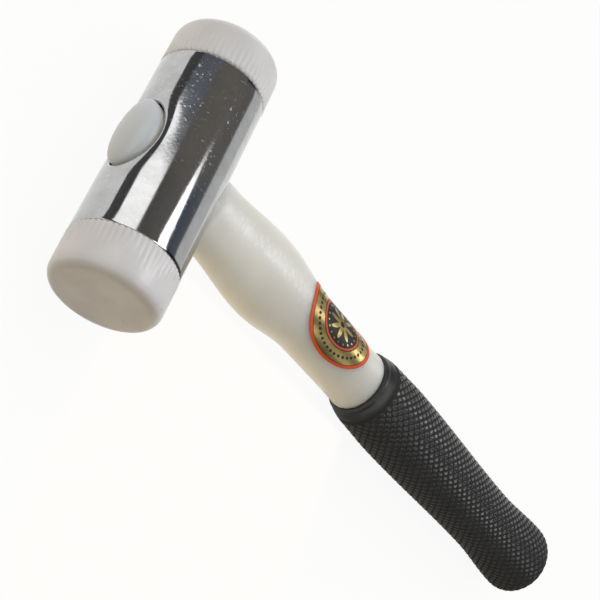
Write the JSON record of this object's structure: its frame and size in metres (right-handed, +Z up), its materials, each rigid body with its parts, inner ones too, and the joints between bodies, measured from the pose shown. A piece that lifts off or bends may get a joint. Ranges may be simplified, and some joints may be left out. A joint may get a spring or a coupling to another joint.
{
  "type": "soft face hammer",
  "caption": "Soft face hammer: a chromed metal head with a screw-in nylon face at each end, on an oval plastic handle with a domed end and a knurled rubber grip.",
  "frame": {"origin": "middle of the lying hammer's box, on the surface that it lies on", "axes": "+X along the handle towards the butt, Y along the axis of the head with the front face at -Y, +Z up from the surface that it lies on"},
  "size_m": [0.2836, 0.1044, 0.038],
  "materials": {
    "head_metal": "bright plated, mirror smooth",
    "nylon": "milky nylon, satin",
    "handle_plastic": "milky moulded plastic, satin",
    "grip_rubber": "black rubber with a diamond knurl",
    "label_foil": "gold foil print with an orange rim"
  },
  "bodies": {
    "hammer": {"head_body": "head_metal", "handle": "handle_plastic", "grip": "grip_rubber", "label": "label_foil"},
    "front_face": {"front_face": "nylon"},
    "rear_face": {"rear_face": "nylon"}
  },
  "joints": [
    {"name": "front_face_unscrew", "type": "slide", "parent": "hammer", "child": "front_face", "axis": [0, -1, 0], "range_m": [0, 0.018]},
    {"name": "rear_face_unscrew", "type": "slide", "parent": "hammer", "child": "rear_face", "axis": [0, 1, 0], "range_m": [0, 0.018]}
  ]
}
